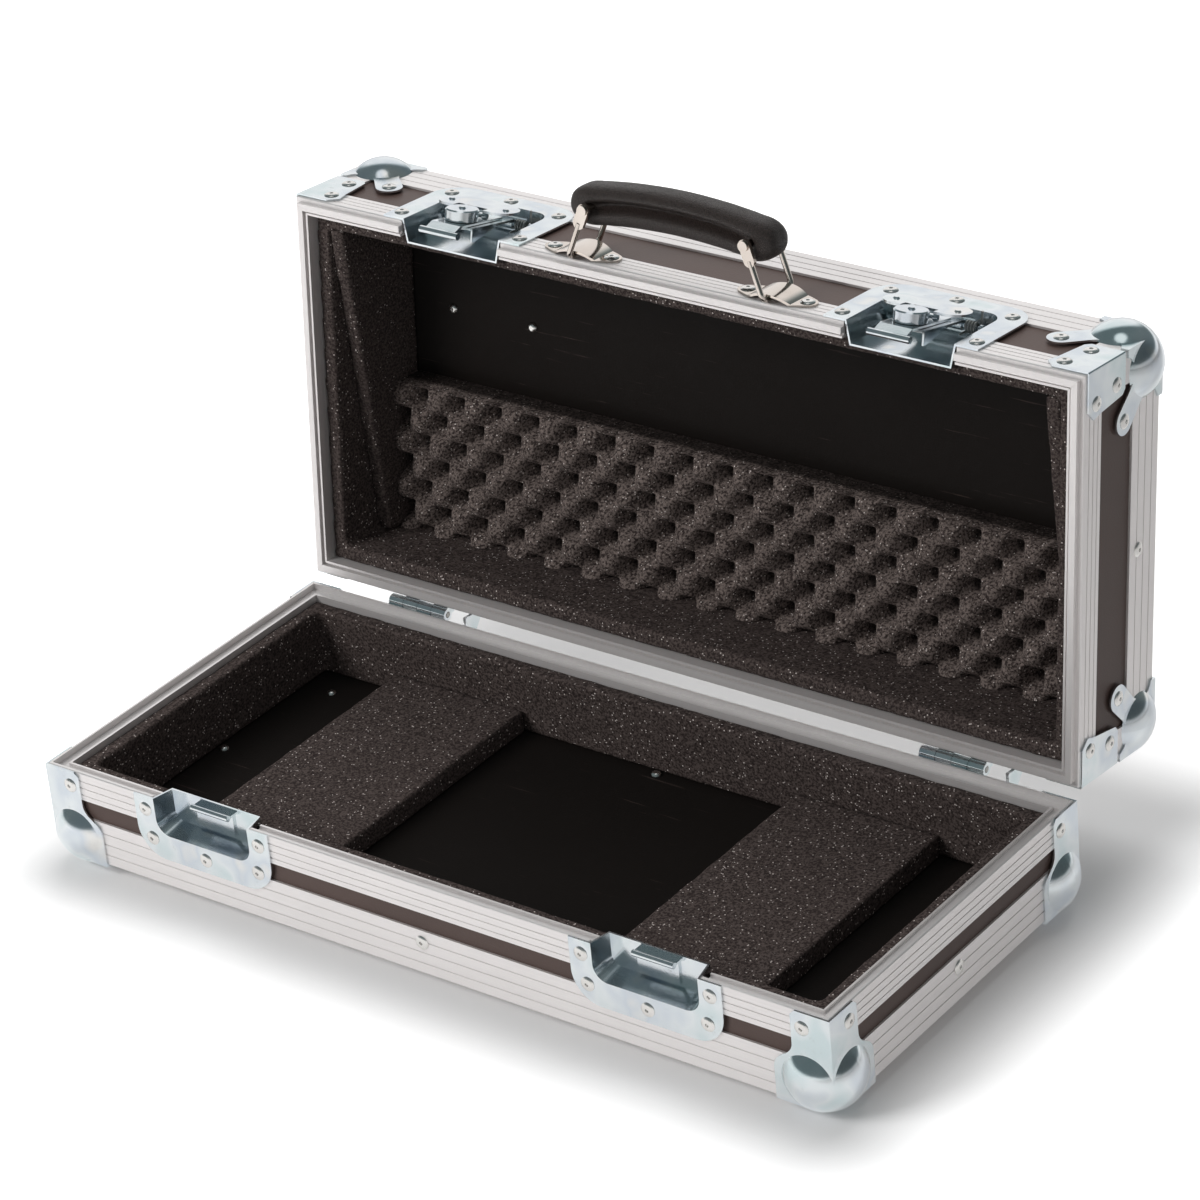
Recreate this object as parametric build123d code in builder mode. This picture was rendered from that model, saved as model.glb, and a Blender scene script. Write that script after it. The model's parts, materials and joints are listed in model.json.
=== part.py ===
from build123d import *
from math import cos, hypot, pi, radians, sin, sqrt
import os

# A flight case for a small synthesizer: a shallow base and a deeper lid of black laminated plywood,
# held by aluminium edge angles and a tongue-and-groove rim, with steel ball corners, two butterfly
# latches, a loop handle and foam inside. It stands open, with the lid leaning on its hinge stops.
# Millimetres, +Z up, X along the front. The origin is under the middle of the opened case's box.

os.makedirs("parts", exist_ok=True)

# Body of the case
case_width = 570.0
case_depth = 255.0
base_height = 62.0  # underside of the edge angle to the parting plane
lid_height = 83.0  # parting plane to the outside of the lid
lid_angle = 95.8  # how far the lid swings from closed to its stop

# Board and extrusions
wall = 7.0
floor_board = 9.0
lid_board = 5.0
skin = 1.5  # wall of the aluminium angle and of the rim's outer leg
angle_leg = 30.0
corner_angle_leg = 20.0
heel_radius = 1.0
groove_width = 0.9
groove_depth = 0.35
mitre_gap = 0.1
board_gap = 0.1  # board to the metal that wraps it
rim_leg_base = 19.5
rim_leg_lid = 18.5
rim_web = 1.5
rim_lip = 2.0
rim_inner_lip = 1.4
rim_inner_leg = 11.0  # how far the rim's inner leg reaches from the parting plane
rim_bevel = 0.6
tongue_height = 3.2
tongue_width = 4.2
tongue_start = 3.2  # tongue's outer side, from the case's face
groove_floor = 4.2
inner_lip_drop = 2.3
lid_gap = 0.3  # between the closed rims
ledge_gap = 0.6  # between the closed inner lips

# Foam
foam = 9.7
foam_gap = 0.3
foam_top_gap = 6.0  # foam edge below the rim
pad_width = 101.0
pad_centre = 153.5
pad_thickness = 15.5
side_pad = 10.0
side_pad_low = 6.0  # slanted edge above the rim, at the lid's front
side_pad_high = 40.0  # and at its hinge side
crate_depth = 100.0
crate_thickness = 21.0

# Steel corners
ball_radius = 24.6
ball_shell = 1.5
ball_inset = 16.0  # ball centre from each face
plate = 1.2
clip_size = 24.0
foot_reach = 38.0
base_leg_width = 25.0
lobe_place = 41.0  # rivet in the lobe, from both edges
lobe_radius = 8.5
lobe_waist = 31.0
brace_low = 2.0
brace_high = 42.0
brace_width = 29.0

# Latches and keepers
latch_place = 162.5
flange_width = 104.6
dish_flange = 68.0
keeper_flange = 41.8
flange_corner = 20.0
dish_half = 36.6
dish_reach = 53.2
keeper_reach = 24.2
dish_depth = 13.0
dish_taper = 12.3
dish_corner = 10.0
notch_gap = 0.4
hook_half = 14.3
hook_bar = 1.9
hook_drop = 4.5
hook_depth = 8.0
hook_plate = 1.4
hook_leg = 19.0
pivot_high = 44.0  # carrier pivot above the rim
pivot_deep = 6.0  # and behind the face
pivot_radius = 1.5
ear_inset = 8.6  # ears of the dish, from its side
ear_wide = 2.0
carrier_tilt = 8.5  # how far the carrier springs out of the dish
carrier_half = 15.0
carrier_low = 2.0
carrier_deep = 2.7  # top of the carrier plate, behind the face
knuckle_wall = 1.5
running_gap = 0.06
slide_gap = 0.3
claw_half = 11.0
claw_bar = 2.2
claw_reach = 11.3
claw_draw = 3.0
claw_end = 37.0
hub_high = 10.5
hub_radius = 10.5
hub_top = 6.4
hub_shaft = 3.5
hub_foot = 5.0
wing_top = 6.1
wing_thick = 1.5
wing_high = 27.0
wing_half = 28.5
wing_rivet = 20.8
wing_back = 45.0
wing_shoulder = (23.5, 37.0)
wing_front = 16.0
wing_front_half = 17.0
wing_notch_half = 11.2
wing_notch = 21.6
wing_ear = 1.8
fold_high = 17.5
fold_deep = -2.5  # fold pin, behind the face: it stands in front of it
fold_radius = 1.25
cheek_low = 11.2  # lowest point of the carrier's cheeks, behind the face
cheek_high = 31.0
spring_wire = 0.7
spring_radius = 3.2
spring_quarters = 17  # quarter turns of the coil
spring_pitch = 1.9
spring_leg = 10.0

# Hinges
hinge_place = 200.5
hinge_out = 4.8  # axis behind the case's back
hinge_up = 0.5  # axis above the parting plane
knuckle_radius = 4.0
hinge_pin = 2.0
knuckle_run = 45.0
knuckle_count = 4
leaf = 1.5
leaf_start = 5.5
leaf_end = 34.0
leaf_left = 24.0
leaf_right = 42.0
stop_place = 38.5
stop_wide = 2.0
stop_reach = 12.0
stop_gap = 0.15

# Handle
handle_high = 12.0  # middle of the handle above the rim
handle_place = 70.5
handle_plate_long = 64.0  # before its tips are rounded
handle_plate_wide = 23.0
handle_plate_tip = 6.0
handle_plate_thick = 1.3
handle_rivet = 21.0
bridge_half = 15.0
bail_wire = 1.75
bail_seat = 2.2  # bail's foot from the face
bail_half = 15.0
bail_corner = 4.0
eye_radius = 3.8
eye_strap = 9.5  # length of the flattened end, from the pin
eye_thick = 2.4
grip_pin_place = 58.0
grip_pin_out = 34.0
grip_pin = 2.0
grip_pin_head = 3.3
open_eye_gap = 0.45
grip_rise = 4.5
grip_thick = 25.0
grip_wide = 24.0
grip_round = 8.0
grip_bore_gap = 0.3

# Rivets
rivet_radius = 4.6
rivet_high = 1.3
rivet_dimple = 1.2
rivet_end_radius = 3.4
rivet_end_high = 2.4

# Levels worked out from the sizes above
base_low = ball_radius - ball_inset
parting = base_low + base_height
lid_top = parting + lid_height
half_w = case_width / 2
half_d = case_depth / 2
board_in = skin + wall  # inner face of the walls
rim_in = board_in + 0.3 + rim_inner_lip  # inner face of the rim
lining_in = rim_in + foam_gap + foam
floor_top = base_low + skin + floor_board
lid_ceiling = lid_top - skin - lid_board
hinge_y = half_d + hinge_out
hinge_z = parting + hinge_up
ear_place = dish_half - ear_inset
pivot_half = ear_place + ear_wide / 2 + 1.0


def opened(y, z):
    """Where a point of the closed lid lies when the lid is open, in the case's own frame."""
    swing = radians(lid_angle)
    back, up = y - hinge_y, z - hinge_z
    return hinge_y + back * cos(swing) + up * sin(swing), hinge_z - back * sin(swing) + up * cos(swing)


# The opened case reaches from the front balls of the base to the upper balls of the lid.
front_reach = -half_d + ball_inset - ball_radius
back_reach = opened(-half_d + ball_inset, lid_top - ball_inset)[0] + ball_radius
case_y = -(front_reach + back_reach) / 2

BASE = Location((0, case_y, 0))
LID = Location((0, case_y + hinge_y, hinge_z)) * Location((0, 0, 0), (-lid_angle, 0, 0)) * Location(
    (0, -hinge_y, -hinge_z)
)
pivot_y = -half_d + pivot_deep
pivot_z = parting + pivot_high
CARRIER = LID * Location((0, pivot_y, pivot_z)) * Location((0, 0, 0), (-carrier_tilt, 0, 0)) * Location(
    (0, -pivot_y, -pivot_z)
)


def save(piece, label, seat):
    """Put a finished piece in its place, name it and write its file."""
    piece.part = piece.part.moved(seat)
    piece.part.label = label
    export_step(piece.part, f"parts/{label}.step")


def front_plane(x=0.0):
    """The case's front face: X to the right, Y up from the parting plane, Z out of the case."""
    return Plane(origin=(x, -half_d, parting), x_dir=(1, 0, 0), z_dir=(0, -1, 0))


def back_plane(x=0.0):
    """The case's back face, X still along the case, Z out of it."""
    return Plane(origin=(x, half_d, parting), x_dir=(-1, 0, 0), z_dir=(0, 1, 0))


def side_plane(side):
    """The left (-1) or right (1) face, X towards the back on the right face and forward on the left."""
    return Plane(origin=(side * half_w, 0, parting), x_dir=(0, side, 0), z_dir=(side, 0, 0))


def board(length, depth, height, place, label, seat, cutters):
    """A cut board: a box with everything that the metalwork needs taken out of it."""
    with BuildPart() as piece:
        with Locations(place):
            Box(length, depth, height)
        for cutter in cutters:
            add(cutter, mode=Mode.SUBTRACT)
    save(piece, label, seat)


def corner_clips(z_face, inward):
    """The four corners of a half case that lie outside the hollow balls."""
    with BuildPart() as clips:
        for sx in (-1, 1):
            for sy in (-1, 1):
                reach = clip_size / 2
                with Locations((sx * (half_w - reach), sy * (half_d - reach), z_face + inward * reach)):
                    Box(clip_size + 0.02, clip_size + 0.02, clip_size + 0.02)
        for sx in (-1, 1):
            for sy in (-1, 1):
                with Locations(
                    (sx * (half_w - ball_inset), sy * (half_d - ball_inset), z_face + inward * ball_inset)
                ):
                    Sphere(ball_radius - ball_shell - board_gap, mode=Mode.SUBTRACT)
    return clips.part


def dish_notches(reach, upward):
    """Room for the latch dishes in a front wall, rim and lining: open at the parting plane."""
    half = dish_half + plate + notch_gap
    depth = dish_depth + plate + notch_gap
    tall = reach + plate + notch_gap
    with BuildPart() as notches:
        for x in (-latch_place, latch_place):
            with Locations((x, -half_d + depth / 2 - 1, parting + upward * (tall / 2 - 5))):
                Box(2 * half, depth + 2, tall + 10)
    return notches.part


def mitred_bar(outline, length, across, z_seat, grooves_up, grooves_in, heel):
    """One extruded bar on the -Y side, both ends mitred. Outline points run inwards and up."""
    section = Plane(origin=(0, -across / 2, z_seat), x_dir=(0, 1, 0), z_dir=(1, 0, 0))
    with BuildPart() as bar:
        with BuildSketch(section):
            with BuildLine():
                Polyline(*outline, close=True)
            make_face()
            if heel:
                fillet(vertices().group_by(Axis.Y)[0].sort_by(Axis.X)[0], heel_radius)
            for up in grooves_up:
                with Locations((0, up)):
                    Rectangle(2 * groove_depth, groove_width, mode=Mode.SUBTRACT)
            for inward in grooves_in:
                with Locations((inward, 0)):
                    Rectangle(groove_width, 2 * groove_depth, mode=Mode.SUBTRACT)
        extrude(amount=length / 2, both=True)
        for end in (-1, 1):
            cut = Plane(
                origin=(end * (length / 2 - mitre_gap / 2), -across / 2, z_seat),
                x_dir=(-end, 1, 0),
                z_dir=(end, 1, 0),
            )
            split(bisect_by=cut, keep=Keep.BOTTOM)
    return bar.part


def mitred_frame(outline, z_seat, grooves_up, grooves_in, heel):
    """Four bars of one section around the case."""
    long_bar = mitred_bar(outline, case_width, case_depth, z_seat, grooves_up, grooves_in, heel)
    short_bar = mitred_bar(outline, case_depth, case_width, z_seat, grooves_up, grooves_in, heel)
    with BuildPart() as frame:
        add(long_bar)
        add(short_bar.rotate(Axis.Z, 90))
        add(long_bar.rotate(Axis.Z, 180))
        add(short_bar.rotate(Axis.Z, 270))
    return frame.part


base_clips = corner_clips(base_low, 1)
lid_clips = corner_clips(lid_top, -1)
keeper_notches = dish_notches(keeper_reach, -1)
latch_notches = dish_notches(dish_reach, 1)


# Boards of the base
wall_long = case_width - 2 * skin - 2 * board_gap
wall_short = case_depth - 2 * board_in
base_wall_top = parting - groove_floor - rim_web - board_gap
base_wall_high = base_wall_top - floor_top
base_wall_mid = (base_wall_top + floor_top) / 2
wall_y = half_d - skin - board_gap - (wall - board_gap) / 2
wall_x = half_w - skin - board_gap - (wall - board_gap) / 2
thin = wall - board_gap

floor_z = base_low + skin + floor_board / 2
board(wall_long, case_depth - 2 * skin - 2 * board_gap, floor_board, (0, 0, floor_z),
      "base_floor_board", BASE, [base_clips])
board(wall_long, thin, base_wall_high, (0, -wall_y, base_wall_mid),
      "base_front_wall", BASE, [base_clips, keeper_notches])
board(wall_long, thin, base_wall_high, (0, wall_y, base_wall_mid), "base_back_wall", BASE, [base_clips])
for side, name in ((-1, "left"), (1, "right")):
    board(thin, wall_short, base_wall_high, (side * wall_x, 0, base_wall_mid),
          f"base_{name}_wall", BASE, [base_clips])

# Boards of the lid
lid_wall_low = parting + lid_gap + rim_web + board_gap
lid_wall_high = lid_ceiling - lid_wall_low
lid_wall_mid = (lid_ceiling + lid_wall_low) / 2
lid_board_z = lid_ceiling + lid_board / 2
board(wall_long, case_depth - 2 * skin - 2 * board_gap, lid_board, (0, 0, lid_board_z),
      "lid_top_board", LID, [lid_clips])
board(wall_long, thin, lid_wall_high, (0, -wall_y, lid_wall_mid),
      "lid_front_wall", LID, [lid_clips, latch_notches])
board(wall_long, thin, lid_wall_high, (0, wall_y, lid_wall_mid), "lid_back_wall", LID, [lid_clips])
for side, name in ((-1, "left"), (1, "right")):
    board(thin, wall_short, lid_wall_high, (side * wall_x, 0, lid_wall_mid),
          f"lid_{name}_wall", LID, [lid_clips])


# Edge angles: an L section along the outer edges, and short uprights in the four corners
angle_outline = [
    (0, 0),
    (angle_leg, 0),
    (angle_leg, skin),
    (skin, skin),
    (skin, angle_leg),
    (0, angle_leg),
]
angle_grooves = [angle_leg * share for share in (0.25, 0.5, 0.75)]


def corner_uprights(z_low, z_high):
    """Four upright angles between the edge angle and the rim."""
    tall = z_high - z_low
    with BuildPart() as uprights:
        for sx in (-1, 1):
            for sy in (-1, 1):
                mid = (z_low + z_high) / 2
                leg = corner_angle_leg
                with Locations((sx * (half_w - leg / 2), sy * (half_d - leg / 2), mid)):
                    Box(leg, leg, tall)
                with Locations((sx * (half_w - skin - leg / 2), sy * (half_d - skin - leg / 2), mid)):
                    Box(leg, leg, tall + 2, mode=Mode.SUBTRACT)
    return uprights.part


with BuildPart() as base_edge_angles:
    add(mitred_frame(angle_outline, base_low, angle_grooves, angle_grooves, True))
    add(base_clips, mode=Mode.SUBTRACT)
    add(corner_uprights(base_low + angle_leg + board_gap, parting - rim_leg_base - board_gap))
save(base_edge_angles, "base_edge_angles", BASE)

with BuildPart() as lid_edge_angles:
    lid_angles = mitred_frame(angle_outline, 0, angle_grooves, angle_grooves, True)
    add(lid_angles.mirror(Plane.XY).moved(Location((0, 0, lid_top))))
    add(lid_clips, mode=Mode.SUBTRACT)
    add(corner_uprights(parting + rim_leg_lid + board_gap, lid_top - angle_leg - board_gap))
    add(latch_notches, mode=Mode.SUBTRACT)
save(lid_edge_angles, "lid_edge_angles", LID)


# Rims: the base has a groove between a high outer lip and a low inner lip, the lid has a tongue
inner_lip_out = rim_in - rim_inner_lip
base_rim_outline = [
    (0, -rim_leg_base),
    (0, -rim_bevel),
    (rim_bevel, 0),
    (rim_lip, 0),
    (rim_lip, -groove_floor),
    (inner_lip_out, -groove_floor),
    (inner_lip_out, -inner_lip_drop),
    (rim_in, -inner_lip_drop),
    (rim_in, -rim_inner_leg),
    (inner_lip_out, -rim_inner_leg),
    (inner_lip_out, -groove_floor - rim_web),
    (skin, -groove_floor - rim_web),
    (skin, -rim_leg_base),
]
tongue_end = tongue_start + tongue_width
lid_inner_lip = ledge_gap - inner_lip_drop
lid_rim_outline = [
    (0, rim_leg_lid),
    (0, lid_gap + rim_bevel),
    (rim_bevel, lid_gap),
    (tongue_start, lid_gap),
    (tongue_start, -tongue_height),
    (tongue_end, -tongue_height),
    (tongue_end, lid_gap),
    (inner_lip_out, lid_gap),
    (inner_lip_out, lid_inner_lip),
    (rim_in, lid_inner_lip),
    (rim_in, rim_inner_leg),
    (inner_lip_out, rim_inner_leg),
    (inner_lip_out, lid_gap + rim_web),
    (skin, lid_gap + rim_web),
    (skin, rim_leg_lid),
]
with BuildPart() as base_rims:
    grooves = [-rim_leg_base * share for share in (0.3, 0.55, 0.8)]
    add(mitred_frame(base_rim_outline, parting, grooves, [], False))
    add(keeper_notches, mode=Mode.SUBTRACT)
save(base_rims, "base_rims", BASE)

with BuildPart() as lid_rims:
    grooves = [rim_leg_lid * share for share in (0.3, 0.55, 0.8)]
    add(mitred_frame(lid_rim_outline, parting, grooves, [], False))
    add(latch_notches, mode=Mode.SUBTRACT)
save(lid_rims, "lid_rims", LID)


def lining(z_board, z_leg, z_edge, notches, label, seat):
    """Four foam strips along the walls: thick from the board to the rim's leg, set in beside the leg."""
    with BuildPart() as piece:
        for outer, z_from, z_to in ((board_in + foam_gap, z_board, z_leg), (rim_in + foam_gap, z_leg, z_edge)):
            with BuildSketch(Plane.XY.offset(min(z_from, z_to))):
                Rectangle(case_width - 2 * outer, case_depth - 2 * outer)
                Rectangle(case_width - 2 * lining_in, case_depth - 2 * lining_in, mode=Mode.SUBTRACT)
            extrude(amount=abs(z_to - z_from))
        # The end strips butt against the long ones
        for side in (-1, 1):
            with Locations((0, side * (half_d - lining_in - mitre_gap / 2), (z_board + z_edge) / 2)):
                Box(case_width, mitre_gap, 2 * abs(z_edge - z_board), mode=Mode.SUBTRACT)
        add(notches, mode=Mode.SUBTRACT)
    save(piece, label, seat)


leg_end = rim_inner_leg + foam_gap
lining(floor_top + foam_gap, parting - leg_end, parting - foam_top_gap, keeper_notches,
       "base_foam_lining", BASE)
lining(lid_ceiling - foam_gap, parting + leg_end, parting + foam_top_gap, latch_notches,
       "lid_foam_lining", LID)

# Foam pads under the instrument, egg-crate foam over it, slanted pads at the lid's ends
room_half_w = half_w - lining_in - foam_gap
room_half_d = half_d - lining_in - foam_gap
pad_z = floor_top + foam_gap + pad_thickness / 2
for side, name in ((-1, "left"), (1, "right")):
    with BuildPart() as pad:
        with Locations((side * pad_centre, 0, pad_z)):
            Box(pad_width, 2 * room_half_d, pad_thickness)
    save(pad, f"base_{name}_foam_pad", BASE)

for side, name in ((-1, "left"), (1, "right")):
    with BuildPart() as pad:
        wall_face = side * room_half_w
        with BuildSketch(Plane(origin=(wall_face, 0, 0), x_dir=(0, side, 0), z_dir=(side, 0, 0))):
            with BuildLine():
                Polyline(
                    (-side * room_half_d, parting + side_pad_low),
                    (side * room_half_d, parting + side_pad_high),
                    (side * room_half_d, lid_ceiling - foam_gap),
                    (-side * room_half_d, lid_ceiling - foam_gap),
                    close=True,
                )
            make_face()
        extrude(amount=-side_pad)
    save(pad, f"lid_{name}_foam_pad", LID)

with BuildPart() as crate:
    crate_z = lid_ceiling - foam_gap - crate_thickness / 2
    with Locations((0, room_half_d - crate_depth / 2, crate_z)):
        Box(2 * (room_half_w - side_pad - foam_gap), crate_depth, crate_thickness)
save(crate, "lid_egg_crate_foam", LID)


# Ball corners: a hollow steel ball with a plate on each of the three faces
def lobe_outline():
    """A plate that runs out along both edges and to a rivet lobe on the diagonal."""
    out = lobe_place + lobe_radius / sqrt(2)
    side_out = lobe_radius / sqrt(2)
    with BuildLine() as outline:
        Line((-plate, -plate), (foot_reach, -plate))
        Line((foot_reach, -plate), (foot_reach, 4))
        Spline((foot_reach, 4), (lobe_waist, 15), (lobe_place + side_out, lobe_place - side_out),
               tangents=((-1, 0.2), (1, 1)))
        ThreePointArc(
            (lobe_place + side_out, lobe_place - side_out),
            (out, out),
            (lobe_place - side_out, lobe_place + side_out),
        )
        Spline((lobe_place - side_out, lobe_place + side_out), (15, lobe_waist), (4, foot_reach),
               tangents=((-1, -1), (-0.2, 1)))
        Line((4, foot_reach), (-plate, foot_reach))
        Line((-plate, foot_reach), (-plate, -plate))
    return outline.line


def leg_outline():
    """The base's upright plate: narrow at the rim, flared where it meets the ball."""
    top = base_height - lid_gap
    with BuildLine() as outline:
        Polyline((-plate, -plate), (foot_reach, -plate), (foot_reach, 20))
        Spline((foot_reach, 20), (base_leg_width, 40), tangents=((0, 1), (0, 1)))
        Polyline((base_leg_width, 40), (base_leg_width, top - 3), (base_leg_width - 3, top), (-plate, top))
        Line((-plate, top), (-plate, -plate))
    return outline.line


def ball_corners(z_face, inward, upright, clips, label, seat):
    """Four ball corners. The first stands at the right front corner, the rest are its mirror images."""
    centre = (half_w - ball_inset, -half_d + ball_inset, z_face + inward * ball_inset)
    tip = ball_inset + 10
    with BuildPart() as corner:
        faces = (
            (Plane(origin=(half_w, -half_d, z_face), x_dir=(-1, 0, 0), z_dir=(0, inward, 0)), -inward, upright),
            (Plane(origin=(half_w, -half_d, z_face), x_dir=(0, 1, 0), z_dir=(inward, 0, 0)), inward, upright),
            (Plane(origin=(half_w, -half_d, z_face), x_dir=(-1, 0, 0), z_dir=(0, 0, -1)), inward, lobe_outline),
        )
        for plane, outward, outline in faces:
            with BuildSketch(plane):
                with BuildLine():
                    add(outline())
                make_face()
            extrude(amount=outward * plate)
        with Locations((centre[0] + tip / 2, centre[1] - tip / 2, centre[2] - inward * tip / 2)):
            Box(tip, tip, tip, mode=Mode.SUBTRACT)
        with Locations(centre):
            Sphere(ball_radius)
            Sphere(ball_radius - ball_shell, mode=Mode.SUBTRACT)
        add(case_block(z_face, inward) - clips, mode=Mode.SUBTRACT)
        mirror(about=Plane.YZ)
        mirror(about=Plane.XZ)
    save(corner, label, seat)


def case_block(z_face, inward):
    """The outside of half a case as one block."""
    tall = base_height if inward > 0 else lid_height
    with BuildPart() as block:
        with Locations((0, 0, z_face + inward * tall / 2)):
            Box(case_width, case_depth, tall)
    return block.part


ball_corners(base_low, 1, leg_outline, base_clips, "base_ball_corners", BASE)
ball_corners(lid_top, -1, lobe_outline, lid_clips, "lid_ball_corners", LID)

# Corner braces where the lid's rim turns
with BuildPart() as lid_corner_braces:
    for plane, outward in (
        (Plane(origin=(half_w, -half_d, parting), x_dir=(-1, 0, 0), z_dir=(0, 1, 0)), -1),
        (Plane(origin=(half_w, -half_d, parting), x_dir=(0, 1, 0), z_dir=(1, 0, 0)), 1),
    ):
        with BuildSketch(plane):
            with BuildLine():
                Polyline(
                    (-plate, brace_low),
                    (brace_width - 6, brace_low),
                    (brace_width, brace_low + 6),
                    (brace_width - 2, brace_low + 14),
                    (brace_width - 5, brace_high - 3),
                    (brace_width - 8, brace_high),
                    (-plate, brace_high),
                    close=True,
                )
            make_face()
        extrude(amount=outward * plate)
    fillet(edges().filter_by(Axis.Z).sort_by(SortBy.DISTANCE)[-1], plate)
    mirror(about=Plane.YZ)
    mirror(about=Plane.XZ)
save(lid_corner_braces, "lid_corner_braces", LID)


# Latch dishes in the lid and keeper dishes in the base: pressed pans, open at the parting plane
def pan(x, reach, flange, upward):
    """A flanged pan. Reach and flange run from the parting plane, up in the lid and down in the base."""
    face = front_plane(x)
    start = lid_gap
    overrun = 30.0
    with BuildPart() as dish:
        with BuildSketch(face):
            with Locations((0, upward * (flange + start) / 2)):
                Rectangle(flange_width, flange - start)
            fillet(vertices().group_by(Axis.Y)[-1 if upward > 0 else 0], flange_corner)
        extrude(amount=plate)
        for grow, depth, mode in ((plate, dish_depth + plate, Mode.ADD), (0, dish_depth, Mode.SUBTRACT)):
            with BuildSketch(face.offset(plate)):
                with Locations((0, upward * (reach + grow - overrun) / 2)):
                    Rectangle(2 * (dish_half + grow), reach + grow + overrun)
                fillet(vertices().group_by(Axis.Y)[-1 if upward > 0 else 0], dish_corner + grow)
            extrude(amount=-(depth + plate), taper=dish_taper, mode=mode)
        with Locations((x, -half_d, parting + upward * (start - 50))):
            Box(200, 100, 100, mode=Mode.SUBTRACT)
    return dish.part


for x, name in ((-latch_place, "left"), (latch_place, "right")):
    with BuildPart() as keeper:
        add(pan(x, keeper_reach, keeper_flange, -1))
    save(keeper, f"keeper_dish_{name}", BASE)

    # The hook that the claw catches: a plate on the dish's floor, a shelf and a round bar
    with BuildPart() as hook:
        section = Plane(origin=(x, -half_d, parting), x_dir=(0, 1, 0), z_dir=(1, 0, 0))
        with BuildSketch(section):
            with Locations((dish_depth - hook_plate / 2, -(hook_drop + hook_leg) / 2)):
                Rectangle(hook_plate, hook_leg - hook_drop)
            with Locations(((hook_depth + dish_depth) / 2, -hook_drop)):
                Rectangle(dish_depth - hook_depth, hook_plate)
            with Locations((hook_depth, -hook_drop)):
                Circle(hook_bar)
        extrude(amount=hook_half, both=True)
    save(hook, f"keeper_hook_{name}", BASE)

def coil_point(quarter, x):
    """A point of the spring's centre line and its direction there, counted in quarter turns."""
    turn = quarter * pi / 2
    advance = spring_pitch / (2 * pi * spring_radius)
    way = Vector(advance, -sin(turn), cos(turn)).normalized()
    around = spring_radius * cos(turn), spring_radius * sin(turn)
    return Vector(x + spring_pitch * quarter / 4, pivot_y + around[0], pivot_z + around[1]), way


def joined_arcs(start, start_way, end, end_way):
    """Two arcs that meet smoothly between two points with given directions."""
    across = end - start
    both = start_way + end_way
    spread = 2 * (1 - start_way.dot(end_way))
    reach = (-across.dot(both) + sqrt(across.dot(both) ** 2 + spread * across.dot(across))) / spread
    middle = (start + end + (start_way - end_way) * reach) * 0.5
    first = TangentArc(start, middle, tangent=start_way)
    TangentArc(middle, end, tangent=first % 1)


turns = [coil_point(step / 8, 0)[0] for step in range(spring_quarters * 8 + 1)]
spring_gap = min(
    (turns[late] - turns[early]).length - 2 * spring_wire
    for early in range(len(turns))
    for late in range(early + 20, len(turns))
)
print(f"least gap between the spring's turns: {spring_gap:.2f} mm")

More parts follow.
